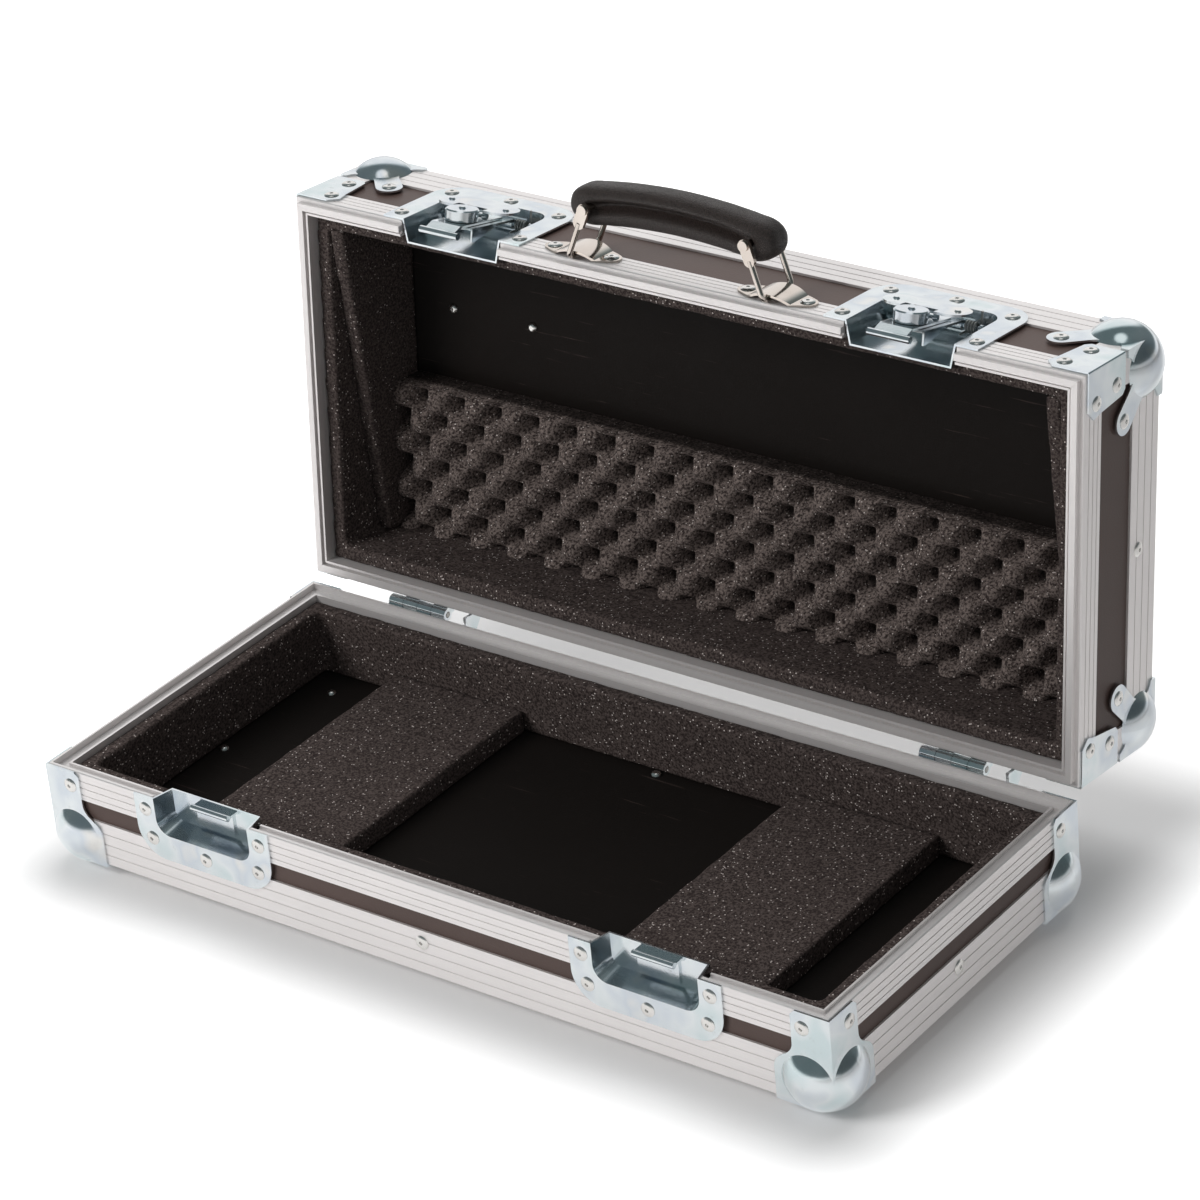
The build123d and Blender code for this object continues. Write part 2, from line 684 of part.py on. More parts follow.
# The latch stands pressed into its dish here; the carrier's seat tilts it out
for x, name in ((-latch_place, "left"), (latch_place, "right")):
    section = Plane(origin=(x, -half_d, parting), x_dir=(0, 1, 0), z_dir=(1, 0, 0))
    with BuildPart() as latch:
        add(pan(x, dish_reach, dish_flange, 1))
        for ear in (-ear_place, ear_place):
            with BuildSketch(section.offset(ear)):
                with Locations((pivot_deep, pivot_high)):
                    Circle(pivot_radius + knuckle_wall)
                with Locations(((pivot_deep + dish_depth) / 2, pivot_high)):
                    Rectangle(dish_depth - pivot_deep, 2 * (pivot_radius + knuckle_wall))
                with Locations((pivot_deep, pivot_high)):
                    Circle(pivot_radius + running_gap, mode=Mode.SUBTRACT)
            extrude(amount=ear_wide / 2, both=True)
    save(latch, f"latch_dish_{name}", LID)

    with BuildPart() as pivot:
        with BuildSketch(section.offset(-pivot_half)):
            with Locations((pivot_deep, pivot_high)):
                Circle(pivot_radius)
        extrude(amount=2 * pivot_half)
        chamfer(edges().filter_by(GeomType.CIRCLE), 0.3)
    save(pivot, f"latch_pivot_pin_{name}", LID)

    # Torsion spring on the pivot pin that lifts the carrier out of the dish
    coil_x = x + (carrier_half + ear_place - ear_wide / 2) / 2 - spring_pitch * spring_quarters / 8
    with BuildPart() as spring:
        with BuildLine() as wire:
            start, way = coil_point(0, coil_x)
            Line(start - way * spring_leg * 0.6, start)
            for quarter in range(spring_quarters):
                joined_arcs(*coil_point(quarter, coil_x), *coil_point(quarter + 1, coil_x))
            end, way = coil_point(spring_quarters, coil_x)
            Line(end, end + way * spring_leg)
        with BuildSketch(Plane(origin=wire.line @ 0, z_dir=wire.line % 0)):
            Circle(spring_wire)
        sweep(path=wire.line)
    save(spring, f"latch_spring_{name}", LID)

    # Carrier plate on the pivot, under the claw
    with BuildPart() as carrier:
        with BuildSketch(section):
            plate_mid = carrier_deep + hook_plate / 2
            with Locations((plate_mid, (carrier_low + pivot_high) / 2)):
                Rectangle(hook_plate, pivot_high - carrier_low)
            with Locations((pivot_deep, pivot_high)):
                Circle(pivot_radius + knuckle_wall)
                Circle(pivot_radius + running_gap, mode=Mode.SUBTRACT)
        extrude(amount=carrier_half, both=True)
        for cheek in (-carrier_half, carrier_half - plate):
            with BuildSketch(section.offset(cheek)):
                with BuildLine():
                    Polyline(
                        (carrier_deep + hook_plate / 2, carrier_low),
                        (cheek_low, carrier_low),
                        (cheek_low, carrier_low + 2),
                        (carrier_deep + hook_plate / 2, cheek_high),
                        close=True,
                    )
                make_face()
            extrude(amount=plate)
        with BuildSketch(front_plane(x)):
            with Locations((0, hub_high)):
                Circle(hub_shaft + running_gap)
        extrude(amount=-10, mode=Mode.SUBTRACT)
    save(carrier, f"latch_carrier_{name}", CARRIER)

    # Claw: a sliding plate that ends in a rolled bar, slotted for the hub
    with BuildPart() as claw:
        claw_deep = carrier_deep - slide_gap - hook_plate
        with BuildSketch(section):
            with BuildLine():
                Polyline(
                    (claw_deep, claw_end),
                    (claw_deep, -claw_reach + 6.5),
                    (pivot_deep - 1.2, -claw_reach - 0.6),
                    (pivot_deep + 0.6, -claw_reach + 0.8),
                    (claw_deep + hook_plate, -claw_reach + 7.4),
                    (claw_deep + hook_plate, claw_end),
                    close=True,
                )
            make_face()
        extrude(amount=claw_half, both=True)
        with BuildSketch(section):
            with Locations((pivot_deep - 0.1, -claw_reach)):
                Circle(claw_bar)
        extrude(amount=hook_half, both=True)
        slot_mid = hub_high - claw_draw / 2
        with BuildSketch(front_plane(x)):
            with Locations((0, slot_mid)):
                SlotCenterToCenter(claw_draw + slide_gap, 2 * (hub_shaft + slide_gap), rotation=90)
        extrude(amount=-10, mode=Mode.SUBTRACT)
    save(claw, f"latch_claw_{name}", CARRIER)

    # Hub: a button that turns, with a shaft through claw and carrier and a bore for the fold pin
    with BuildPart() as hub:
        hub_low = -(carrier_deep - 2 * slide_gap - hook_plate)
        with BuildSketch(front_plane(x).offset(hub_low)):
            with Locations((0, hub_high)):
                Circle(hub_radius)
        extrude(amount=hub_top - hub_low)
        chamfer(faces().sort_by(Axis.Y)[0].edges(), 0.8)
        with BuildSketch(front_plane(x).offset(hub_low)):
            with Locations((0, hub_high)):
                Circle(hub_shaft)
        extrude(amount=-(carrier_deep + hook_plate + slide_gap + hub_low))
        with BuildSketch(front_plane(x).offset(-(carrier_deep + hook_plate + slide_gap))):
            with Locations((0, hub_high)):
                Circle(hub_foot)
        extrude(amount=-1.5)
        with BuildSketch(section):
            with Locations((fold_deep, fold_high)):
                Circle(fold_radius + running_gap)
        extrude(amount=hub_radius, both=True, mode=Mode.SUBTRACT)
        with BuildSketch(front_plane(x).offset(hub_top - 0.2)):
            with Locations((0, hub_high)):
                Circle(2.6)
        extrude(amount=1.2, taper=35)
    save(hub, f"latch_hub_{name}", CARRIER)

    # Fold pin, riveted over in the wing's ears
    ear_in = wing_notch_half + 0.2
    fold_half = ear_in + wing_ear + 0.4
    with BuildPart() as fold_pin:
        with BuildSketch(section.offset(-fold_half)):
            with Locations((fold_deep, fold_high)):
                Circle(fold_radius)
        extrude(amount=2 * fold_half)
    save(fold_pin, f"latch_fold_pin_{name}", CARRIER)

    # Wing: the thumb plate, folded flat behind the hub
    with BuildPart() as wing:
        with BuildSketch(front_plane(x).offset(wing_top - wing_thick)):
            with BuildLine():
                shoulder_x, shoulder_y = wing_shoulder
                ThreePointArc((-shoulder_x, shoulder_y), (0, wing_back), (shoulder_x, shoulder_y))
                ThreePointArc((shoulder_x, shoulder_y), (wing_half, wing_high), (wing_front_half, wing_front))
                Polyline(
                    (wing_front_half, wing_front),
                    (wing_notch_half, wing_front),
                    (wing_notch_half, wing_notch),
                    (-wing_notch_half, wing_notch),
                    (-wing_notch_half, wing_front),
                    (-wing_front_half, wing_front),
                )
                ThreePointArc((-wing_front_half, wing_front), (-wing_half, wing_high), (-shoulder_x, shoulder_y))
            make_face()
        extrude(amount=wing_thick)
        for ear_start in (-ear_in - wing_ear, ear_in):
            with BuildSketch(section.offset(ear_start)):
                with Locations((fold_deep, fold_high)):
                    Circle(fold_radius + 1.2)
                with Locations(((fold_deep - wing_top) / 2, fold_high)):
                    Rectangle(wing_top + fold_deep, 2 * fold_radius)
                with Locations((fold_deep, fold_high)):
                    Circle(fold_radius + 0.02, mode=Mode.SUBTRACT)
            extrude(amount=wing_ear)
        with BuildSketch(front_plane(x).offset(wing_top - 0.2)):
            with Locations((-wing_rivet, wing_high), (wing_rivet, wing_high)):
                Circle(2.4)
        extrude(amount=1.1, taper=35)
    save(wing, f"latch_wing_{name}", CARRIER)


# Hinges: leaves on the back walls, four knuckles on one pin, a gusset that stops the lid
knuckle_step = knuckle_run / knuckle_count


def hinge_leaf(x, upward):
    """One leaf with its two knuckles, and the stop gusset on the base's leaf."""
    section = Plane(origin=(x, 0, 0), x_dir=(0, 1, 0), z_dir=(1, 0, 0))
    with BuildPart() as piece:
        tall = leaf_end - leaf_start
        with Locations(
            (x + (leaf_right - leaf_left) / 2, half_d + leaf / 2, parting + upward * (leaf_start + tall / 2))
        ):
            Box(leaf_left + leaf_right, leaf, tall)
        fillet(edges().filter_by(Axis.Y), 2.0)
        for knuckle in range(knuckle_count):
            if knuckle % 2 == (0 if upward < 0 else 1):
                start = -knuckle_run / 2 + knuckle * knuckle_step + slide_gap / 2
                with BuildSketch(section.offset(start)):
                    with Locations((hinge_y, hinge_z)):
                        Circle(knuckle_radius)
                    with Locations((half_d + hinge_out / 2, parting + upward * (leaf_start + 1.5) / 2)):
                        Rectangle(hinge_out, leaf_start + 1.5)
                    with Locations((hinge_y, hinge_z)):
                        Circle(hinge_pin + running_gap, mode=Mode.SUBTRACT)
                extrude(amount=knuckle_step - slide_gap)
        if upward < 0:
            swing = radians(lid_angle)
            out = leaf - hinge_out
            touch = (out * cos(swing), -out * sin(swing))
            slope = cos(swing) / sin(swing)
            rest = [touch[1] + slope * (reach - touch[0]) - stop_gap for reach in (out, stop_reach)]
            with BuildSketch(section.offset(stop_place - stop_wide / 2)):
                with BuildLine():
                    Polyline(
                        (hinge_y + out, hinge_z + rest[0]),
                        (hinge_y + stop_reach, hinge_z + rest[1]),
                        (hinge_y + stop_reach, hinge_z - 2),
                        (hinge_y + out, hinge_z - 20),
                        close=True,
                    )
                make_face()
            extrude(amount=stop_wide)
    return piece


for x, name in ((-hinge_place, "left"), (hinge_place, "right")):
    base_leaf = hinge_leaf(x, -1)
    save(base_leaf, f"hinge_base_leaf_{name}", BASE)
    lid_leaf = hinge_leaf(x, 1)
    save(lid_leaf, f"hinge_lid_leaf_{name}", LID)
    with BuildPart() as pin:
        with Locations((x, hinge_y, hinge_z)):
            Cylinder(hinge_pin, knuckle_run, rotation=(0, 90, 0))
        chamfer(edges().filter_by(GeomType.CIRCLE), 0.4)
    save(pin, f"hinge_pin_{name}", BASE)


# Handle: two bowed plates, two wire bails, a padded grip on two cross pins
def face_point(x, out, high):
    """A point by its place along the lid's front, its distance from the face and its height on it."""
    return (x, -half_d - out, parting + high)


lean_run = handle_place - grip_pin_place
lean_rise = grip_pin_out - bail_seat
bail_length = hypot(lean_run, lean_rise)
for side, name in ((-1, "left"), (1, "right")):
    x = side * handle_place
    with BuildPart() as seat_plate:
        with BuildSketch(front_plane(x)):
            with BuildLine():
                half_long = handle_plate_long / 2
                half_wide = handle_plate_wide / 2
                ThreePointArc((-half_long, handle_high), (0, handle_high + half_wide), (half_long, handle_high))
                ThreePointArc((-half_long, handle_high), (0, handle_high - half_wide), (half_long, handle_high))
            make_face()
        extrude(amount=bail_seat + 2 * bail_wire + handle_plate_thick + 2)
        fillet(edges().filter_by(Axis.Y), handle_plate_tip)
        bow_in = bail_seat + bail_wire + running_gap
        bow_out = bow_in + handle_plate_thick
        with BuildSketch(Plane(origin=face_point(x, 0, 0), x_dir=(1, 0, 0), z_dir=(0, 0, -1))):
            with BuildLine():
                Polyline((-bridge_half, handle_plate_thick), (-half_long - 1, handle_plate_thick),
                         (-half_long - 1, 0), (-bridge_half + 1, 0))
                ThreePointArc((-bridge_half + 1, 0), (0, bow_in), (bridge_half - 1, 0))
                Polyline((bridge_half - 1, 0), (half_long + 1, 0), (half_long + 1, handle_plate_thick),
                         (bridge_half, handle_plate_thick))
                ThreePointArc((bridge_half, handle_plate_thick), (0, bow_out), (-bridge_half, handle_plate_thick))
            make_face()
        extrude(amount=-2 * handle_high, mode=Mode.INTERSECT)
    save(seat_plate, f"handle_plate_{name}", LID)

    # Bail: wire bent to a U, its foot under the bowed plate, its ends flattened to eyes
    with BuildPart() as bail:
        lean = Plane(
            origin=face_point(x, bail_seat, handle_high),
            x_dir=(0, 0, 1),
            z_dir=(lean_rise, -side * lean_run, 0),
        )
        out_way = lean.to_local_coords(Vector(*face_point(x, bail_seat + 1, handle_high))).Y
        stop = (bail_length - eye_strap) * (1 if out_way > 0 else -1)
        strap = Vector(side * lean_run, lean_rise) * (eye_strap / bail_length)
        with BuildLine(lean) as wire:
            FilletPolyline(
                (-bail_half, stop), (-bail_half, 0), (bail_half, 0), (bail_half, stop), radius=bail_corner
            )
        with BuildSketch(Plane(origin=wire.line @ 0, z_dir=wire.line % 0)):
            Circle(bail_wire)
        sweep(path=wire.line)
        eye_bore = grip_pin + (running_gap if side < 0 else open_eye_gap)
        for end in (-bail_half, bail_half):
            with BuildSketch(Plane(origin=face_point(side * grip_pin_place, grip_pin_out, handle_high + end),
                                   x_dir=(1, 0, 0), z_dir=(0, 0, 1))):
                SlotCenterPoint(strap / 2, (0, 0), 2 * eye_radius)
            extrude(amount=eye_thick / 2, both=True)
            with BuildSketch(Plane(origin=face_point(side * grip_pin_place, grip_pin_out, handle_high + end),
                                   x_dir=(1, 0, 0), z_dir=(0, 0, 1))):
                Circle(eye_bore)
            extrude(amount=eye_thick, both=True, mode=Mode.SUBTRACT)
    save(bail, f"handle_bail_{name}", LID)

grip_middle = ThreePointArc(
    (-grip_pin_place, grip_pin_out), (0, grip_pin_out + grip_rise), (grip_pin_place, grip_pin_out)
)
with BuildPart() as grip:
    with BuildSketch(Plane(origin=face_point(0, 0, handle_high), x_dir=(1, 0, 0), z_dir=(0, 0, -1))):
        SlotArc(grip_middle, grip_thick)
    extrude(amount=grip_wide / 2, both=True)
    fillet(faces().filter_by(Axis.Z).edges(), grip_round)
    for x in (-grip_pin_place, grip_pin_place):
        with Locations(face_point(x, grip_pin_out, handle_high)):
            Cylinder(grip_pin + grip_bore_gap, 2 * grip_wide, mode=Mode.SUBTRACT)
save(grip, "handle_grip", LID)

with BuildPart() as grip_pins:
    pin_half = bail_half + eye_thick / 2 + slide_gap
    for x in (-grip_pin_place, grip_pin_place):
        with Locations(face_point(x, grip_pin_out, handle_high)):
            Cylinder(grip_pin, 2 * pin_half)
        for end in (-1, 1):
            with Locations(face_point(x, grip_pin_out, handle_high + end * (pin_half + 0.6))):
                Cylinder(grip_pin_head, 1.2)
save(grip_pins, "handle_grip_pins", LID)


# Rivets: a domed head with a dimple outside, a mushroomed end inside the boards
with BuildPart() as rivet:
    with BuildSketch(Plane.XZ):
        with BuildLine():
            Polyline((0, 0), (rivet_radius, 0), (rivet_radius, 0.3))
            ThreePointArc(
                (rivet_radius, 0.3),
                (rivet_radius * 0.75, rivet_high * 0.8),
                (rivet_radius * 0.45, rivet_high),
            )
            Polyline(
                (rivet_radius * 0.45, rivet_high),
                (rivet_dimple, rivet_high),
                (rivet_dimple * 0.8, rivet_high * 0.4),
                (0, rivet_high * 0.4),
                (0, 0),
            )
        make_face()
    revolve(axis=Axis.Z)

with BuildPart() as rivet_end:
    with BuildSketch(Plane.XZ):
        with BuildLine():
            Polyline((0, rivet_end_high), (0, 0), (rivet_end_radius, 0), (rivet_end_radius, 0.6))
            ThreePointArc(
                (rivet_end_radius, 0.6),
                (rivet_end_radius * 0.8, rivet_end_high * 0.75),
                (rivet_end_radius * 0.4, rivet_end_high),
            )
            Line((rivet_end_radius * 0.4, rivet_end_high), (0, rivet_end_high))
        make_face()
    revolve(axis=Axis.Z)


def on(plane, x, y, out=0.0):
    """A rivet's seat on a face."""
    return plane.location * Location((x, y, out))


def mirrored_pair(x, y):
    """Two places, the same to both sides."""
    return [(-x, y), (x, y)]


under = Plane(origin=(0, 0, base_low), x_dir=(1, 0, 0), z_dir=(0, 0, -1))
inside = Plane(origin=(0, 0, floor_top), x_dir=(1, 0, 0), z_dir=(0, 0, 1))
board_rivets = [
    (sx * (half_w - lobe_place), sy * (half_d - lobe_place)) for sx in (-1, 1) for sy in (-1, 1)
]
edge_rivet = lining_in + rivet_end_radius + 0.6
edge_rivets = [
    (0, half_d - edge_rivet),
    (0, edge_rivet - half_d),
    (half_w - edge_rivet, 0),
    (edge_rivet - half_w, 0),
]
leaf_rivets = [(-14, 12), (14, 12), (-14, 27), (14, 27)]
angle_mid = base_low + 21.7 - parting
bracket_rivets_x = mirrored_pair(half_w - 17.5, -10.5)
bracket_rivets_y = mirrored_pair(half_d - 17.5, -10.5)

seats = []
for x in (-latch_place, latch_place):
    places = mirrored_pair(44.2, -9.5) + mirrored_pair(41.3, -29) + [(0, -32.8)]
    seats += [on(front_plane(x), u, v, plate) for u, v in places]
for plane, places in (
    (front_plane(), bracket_rivets_x),
    (back_plane(), bracket_rivets_x),
    (side_plane(-1), bracket_rivets_y),
    (side_plane(1), bracket_rivets_y),
):
    seats += [on(plane, u, v, plate) for u, v in places]
    seats.append(on(plane, 0, angle_mid))
seats += [on(under, u, v, plate) for u, v in board_rivets]
seats += [on(under, u, v) for u, v in edge_rivets]
for x in (-hinge_place, hinge_place):
    seats += [on(back_plane(x), u, -v, leaf) for u, v in leaf_rivets]
with BuildPart() as base_rivets:
    with Locations(*seats):
        add(rivet.part)
    with Locations(*[on(inside, u, v) for u, v in board_rivets + edge_rivets]):
        add(rivet_end.part)
save(base_rivets, "base_rivets", BASE)

over = Plane(origin=(0, 0, lid_top), x_dir=(1, 0, 0), z_dir=(0, 0, 1))
board_face = Plane(origin=(0, 0, lid_top - skin), x_dir=(1, 0, 0), z_dir=(0, 0, 1))
ceiling = Plane(origin=(0, 0, lid_ceiling), x_dir=(1, 0, 0), z_dir=(0, 0, -1))
badge_rivets = [(-224.0, -41.0), (-161.0, -41.0)]
lobe_high = lid_height - lobe_place
seats = []
for x in (-latch_place, latch_place):
    places = mirrored_pair(45.6, 10) + mirrored_pair(41.5, 54.6) + [(0, 60.8)]
    seats += [on(front_plane(x), u, v, plate) for u, v in places]
for plane, half in ((front_plane(), half_w), (back_plane(), half_w), (side_plane(-1), half_d), (side_plane(1), half_d)):
    places = mirrored_pair(half - 20, 11) + mirrored_pair(half - 16, 33) + mirrored_pair(half - lobe_place, lobe_high)
    seats += [on(plane, u, v, plate) for u, v in places]
seats += [on(side_plane(side), 0, lid_height - 20.5) for side in (-1, 1)]
seats.append(on(back_plane(), 0, lid_height - 20.5))
seats += [on(over, u, v, plate) for u, v in board_rivets]
seats += [on(board_face, u, v, 0) for u, v in badge_rivets]
for x in (-hinge_place, hinge_place):
    seats += [on(back_plane(x), u, v, leaf) for u, v in leaf_rivets]
for x in (-handle_place, handle_place):
    seats += [on(front_plane(x), u, handle_high, handle_plate_thick) for u in (-handle_rivet, handle_rivet)]
with BuildPart() as lid_rivets:
    with Locations(*seats):
        add(rivet.part)
    with Locations(*[on(ceiling, u, -v) for u, v in badge_rivets]):
        add(rivet_end.part)
save(lid_rivets, "lid_rivets", LID)
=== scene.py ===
"""A small flight case for a synthesizer, standing open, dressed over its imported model."""

import json
from math import copysign, cos, exp, hypot, pi, radians, sin

import bpy
from mathutils import Matrix, Vector

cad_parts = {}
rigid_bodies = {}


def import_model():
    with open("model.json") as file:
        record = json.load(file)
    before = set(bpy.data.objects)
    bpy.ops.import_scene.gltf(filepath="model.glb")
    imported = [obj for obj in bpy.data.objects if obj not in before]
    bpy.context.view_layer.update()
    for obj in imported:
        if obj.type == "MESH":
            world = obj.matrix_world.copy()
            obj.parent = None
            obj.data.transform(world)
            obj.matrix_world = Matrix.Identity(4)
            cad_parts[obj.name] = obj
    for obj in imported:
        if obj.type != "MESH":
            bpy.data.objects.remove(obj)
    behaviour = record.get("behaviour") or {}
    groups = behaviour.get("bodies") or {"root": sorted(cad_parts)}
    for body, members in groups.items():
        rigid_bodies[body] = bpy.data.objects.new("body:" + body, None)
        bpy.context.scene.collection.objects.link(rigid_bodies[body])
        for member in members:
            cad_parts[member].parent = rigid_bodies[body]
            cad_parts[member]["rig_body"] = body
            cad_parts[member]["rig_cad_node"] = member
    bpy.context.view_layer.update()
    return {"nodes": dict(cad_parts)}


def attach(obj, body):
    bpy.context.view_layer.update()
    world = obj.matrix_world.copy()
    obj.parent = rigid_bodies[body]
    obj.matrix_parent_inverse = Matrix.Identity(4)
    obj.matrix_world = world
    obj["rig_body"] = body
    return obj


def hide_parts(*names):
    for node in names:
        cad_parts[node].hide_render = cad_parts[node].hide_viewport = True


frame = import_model()
nodes = frame["nodes"]

# The photographer's place: high, in front and to the right, with a long lens. The studio round it
# is a white sweep with three large soft lamps. Bright metal mirrors its white horizon, its dark
# upper half, and a wide softbox at the back left.
photo_place = (1.492659, -1.833914, 1.459934)
photo_turn, photo_drop, photo_roll = 0.6805, 0.5011, -0.0994
camera = bpy.data.cameras.new("studio_camera")
camera.lens = 137.12
camera.sensor_width = 36.0
camera.sensor_fit = "HORIZONTAL"
camera.clip_end = 50.0
viewer = bpy.data.objects.new("studio_camera", camera)
viewer.matrix_world = (
    Matrix.Translation(photo_place)
    @ Matrix.Rotation(photo_turn, 4, "Z")
    @ Matrix.Rotation(pi / 2 - photo_drop, 4, "X")
    @ Matrix.Rotation(photo_roll, 4, "Z")
)
bpy.context.scene.collection.objects.link(viewer)
bpy.context.scene.camera = viewer
bpy.context.scene.view_settings.view_transform = "Standard"


class Level:
    """A number on its way through a shader. Arithmetic on it adds the Math nodes."""

    def __init__(self, shading, socket):
        self.shading, self.socket = shading, socket

    def out(self, name):
        return Level(self.shading, self.socket.node.outputs[name])

    def __add__(self, other):
        return self.shading.math("ADD", self, other)

    def __sub__(self, other):
        return self.shading.math("SUBTRACT", self, other)

    def __rsub__(self, other):
        return self.shading.math("SUBTRACT", other, self)

    def __mul__(self, other):
        return self.shading.math("MULTIPLY", self, other)

    def __truediv__(self, other):
        return self.shading.math("DIVIDE", self, other)

    def __pow__(self, other):
        return self.shading.math("POWER", self, other)

    def __gt__(self, other):
        return self.shading.math("GREATER_THAN", self, other)

    def __lt__(self, other):
        return self.shading.math("LESS_THAN", self, other)

    def __abs__(self):
        return self.shading.math("ABSOLUTE", self)

    __radd__ = __add__
    __rmul__ = __mul__


class Shading:
    """The nodes of one finish, of the floor or of the sky."""

    def __init__(self, tree):
        self.tree = tree

    def node(self, kind, settings, sockets, out=0):
        made = self.tree.nodes.new("ShaderNode" + kind)
        for name, value in settings.items():
            if name == "stops":
                ramp = made.color_ramp
                while len(ramp.elements) < len(value):
                    ramp.elements.new(0.5)
                for element, (place, colour) in zip(ramp.elements, value):
                    element.position, element.color = place, colour
            else:
                setattr(made, name, value)
        for name, value in sockets.items():
            if isinstance(value, Level):
                self.tree.links.new(value.socket, made.inputs[name])
            else:
                made.inputs[name].default_value = value
        return Level(self, made.outputs[out])

    def math(self, operation, a, b=0.0):
        return self.node("Math", {"operation": operation}, {0: a, 1: b})

    def step(self, value, low, high):
        """0 below low, 1 above high, with a soft change between."""
        sockets = {"Value": value, "From Min": low, "From Max": high}
        return self.node("MapRange", {"interpolation_type": "SMOOTHSTEP"}, sockets)

    def blend(self, share, a, b):
        """Colour a where share is 0, colour b where it is 1."""
        return self.node("Mix", {"data_type": "RGBA"}, {0: share, 6: a, 7: b}, 2)

    def noise(self, place, scale, detail=2.0, roughness=0.5):
        sockets = {"Vector": place, "Scale": scale, "Detail": detail, "Roughness": roughness}
        return self.node("TexNoise", {}, sockets)


def paint(text):
    """A colour written as on a screen, such as 4F4341, in the numbers that a shader takes."""
    linear = []
    for at in (0, 2, 4):
        shown = int(text[at:at + 2], 16) / 255
        linear.append(shown / 12.92 if shown <= 0.04045 else ((shown + 0.055) / 1.055) ** 2.4)
    return (*linear, 1.0)


sky = bpy.data.worlds.new("studio_sky")
sky.use_nodes = True
bpy.context.scene.world = sky
sky.node_tree.nodes.clear()
air = Shading(sky.node_tree)
rays = air.node("LightPath", {}, {}, "Is Camera Ray")
toward = air.node("TexCoord", {}, {}, "Generated")
across = air.node("SeparateXYZ", {}, {"Vector": toward}, "X")
behind, above = across.out("Y"), across.out("Z")
softbox_way = (-0.55, 0.73, 0.40)
raised = air.step(above, 0.06, 0.16)
toward_softbox = above * softbox_way[2] + behind * softbox_way[1] + across * softbox_way[0]
softbox = air.step(toward_softbox, 0.84, 0.94)
overhead = air.step(above, 0.955, 0.985)
right_side = air.step(across, 0.25, 0.9)
dark = raised * (1 - softbox) * (1 - overhead)
mirrored = (1 - dark * 0.82) * (1 - right_side * 0.5)
ambient = 0.25
bounced = rays.out("Is Glossy Ray") + rays.out("Is Transmission Ray")
strength = rays + (1 - rays) * (bounced * mirrored + (1 - bounced) * ambient)
tint = air.blend(dark * bounced, (1.0, 1.0, 1.0, 1.0), (0.78, 0.96, 1.0, 1.0))
sky_light = air.node("Background", {}, {"Color": tint, "Strength": strength})
sky_end = sky.node_tree.nodes.new("ShaderNodeOutputWorld")
sky.node_tree.links.new(sky_light.socket, sky_end.inputs["Surface"])


def lamp(name, place, aim, width, power):
    """A square lamp turned to a point. It lights the case, and bright metal does not mirror it."""
    light = bpy.data.lights.new(name, "AREA")
    light.shape = "SQUARE"
    light.size = width
    light.energy = power
    lit = bpy.data.objects.new(name, light)
    lit.location = place
    lit.rotation_euler = (Vector(aim) - Vector(place)).to_track_quat("-Z", "Y").to_euler()
    lit.visible_glossy = False
    bpy.context.scene.collection.objects.link(lit)


lamp("key_lamp", (-1.6, -2.5, 2.1), (0.0, 0.0, 0.14), 1.4, 78.0)
lamp("fill_lamp", (2.6, -1.6, 1.6), (0.0, 0.0, 0.12), 2.2, 5.0)
lamp("top_lamp", (-0.5, 1.3, 2.3), (0.0, 0.0, 0.12), 2.2, 40.0)

bpy.ops.object.select_all(action="DESELECT")
bpy.ops.mesh.primitive_plane_add(size=14.0, location=(0.0, 0.0, -0.0004))
floor = bpy.context.object
floor.name = "studio_floor"
floor_paint = bpy.data.materials.new("studio_floor")
floor_paint.use_nodes = True
floor_paint.node_tree.nodes.clear()
ground = Shading(floor_paint.node_tree)
looked_at = ground.node("LightPath", {}, {}, "Is Camera Ray")
floor_spot = ground.node("TexCoord", {}, {}, "Object")
floor_x = ground.node("SeparateXYZ", {}, {"Vector": floor_spot}, "X")
stand_half = (0.28, 0.18)
shadow_reach = 0.085
out_x = ground.math("MAXIMUM", abs(floor_x) - stand_half[0], 0.0)
out_y = ground.math("MAXIMUM", abs(floor_x.out("Y")) - stand_half[1], 0.0)
away = (out_x * out_x + out_y * out_y) ** 0.5
# For the camera the floor glows white away from the case and hardly at all beside it, so a band of
# painted shade lies round the case with its real shadow.
lift = 0.02 + ground.step(away, 0.0, shadow_reach) * 0.62 + ground.step(away, 0.5, 2.5) * 0.4
# Painted reflection: in metal the floor glows, less towards the right.
right_floor = ground.step(floor_x, 0.30, 0.75)
mirrored_floor = looked_at.out("Is Glossy Ray") * (0.22 - right_floor * 0.5)
seen = looked_at * lift + ground.math("MAXIMUM", mirrored_floor, 0.0)
matt = ground.node("BsdfDiffuse", {}, {"Color": (0.78, 0.78, 0.78, 1.0)})
glow = ground.node("Emission", {}, {"Color": (1.0, 1.0, 1.0, 1.0), "Strength": seen})
both = ground.node("AddShader", {}, {0: matt, 1: glow})
ground_end = floor_paint.node_tree.nodes.new("ShaderNodeOutputMaterial")
floor_paint.node_tree.links.new(both.socket, ground_end.inputs["Surface"])
floor.data.materials.append(floor_paint)

# Boards of the case: thin birch plywood with a dark brown phenolic film on both faces, sawn to
# size. The film is satin, faintly pebbled, with a few fine rubs. Inside the case the film carries
# painted shade, near black.
case_y = -0.0557985
half_wide, half_deep = 0.285, 0.1275
parting = 0.0706
inner_wide, inner_deep = 0.2768, 0.1193
inner_floor, inner_top = -0.0521, 0.0772
hinge_behind, hinge_above = 0.0048, 0.0005
hinge_row = (0.0, case_y + half_deep + hinge_behind, parting + hinge_above)
lid_swing = radians(95.8)


def new_finish(name):
    material = bpy.data.materials.new(name)
    material.use_nodes = True
    return material, Shading(material.node_tree)


